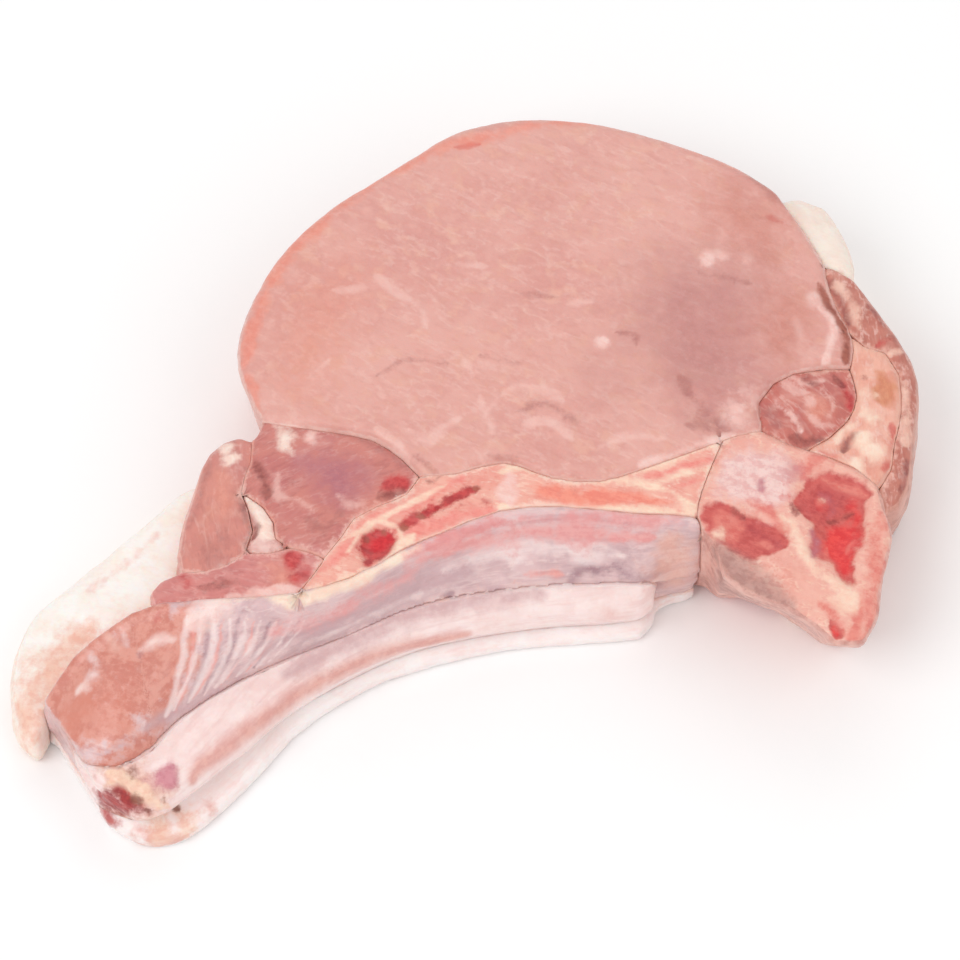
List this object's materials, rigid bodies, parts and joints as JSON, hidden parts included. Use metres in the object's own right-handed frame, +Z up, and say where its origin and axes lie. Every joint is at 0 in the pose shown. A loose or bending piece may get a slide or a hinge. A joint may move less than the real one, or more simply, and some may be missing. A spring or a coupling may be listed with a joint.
{
  "type": "raw pork chop",
  "caption": "Raw bone-in pork rib chop lying on its cut face, with loin eye, smaller muscles, sawn backbone, curved rib, flank meat and fat.",
  "frame": {"origin": "middle of the chop's footprint, on the surface it lies on", "axes": "+X along the rib from the flank end to the backbone, +Y from the rib's inner wall to the animal's back, +Z up through the thickness"},
  "size_m": [0.1534, 0.131, 0.0253],
  "materials": {
    "loin_eye": "moist pale pink raw lean meat",
    "dark_muscle": "moist dark raw lean meat",
    "outer_muscle": "moist raw lean meat",
    "lower_muscle": "moist raw lean meat",
    "seam_fat": "soft white fat",
    "sawn_bone": "sawn bone with red marrow",
    "backbone": "sawn bone with red marrow and cartilage",
    "back_muscle": "moist raw lean meat",
    "spine_fat": "cream fat and gristle",
    "rim_muscle": "moist brownish raw meat",
    "back_fat": "pale cream fat",
    "flank_fat": "pale cream fat",
    "rib_meat": "raw meat under a shiny grey skin",
    "rib_bone": "pinkish white rib under its skin",
    "rib_fringe": "thin pale pink meat"
  },
  "bodies": {
    "root": {"loin_eye": "loin_eye", "side_muscle": "dark_muscle", "outer_muscle": "outer_muscle", "lower_muscle": "lower_muscle", "seam_fat": "seam_fat", "cut_rib": "sawn_bone", "vertebra": "backbone", "back_muscle": "back_muscle", "spine_fat": "spine_fat", "rim_muscle": "rim_muscle", "back_fat": "back_fat", "flank_fat": "flank_fat", "rib_meat": "rib_meat", "rib_bone": "rib_bone", "rib_fringe": "rib_fringe"}
  },
  "joints": []
}
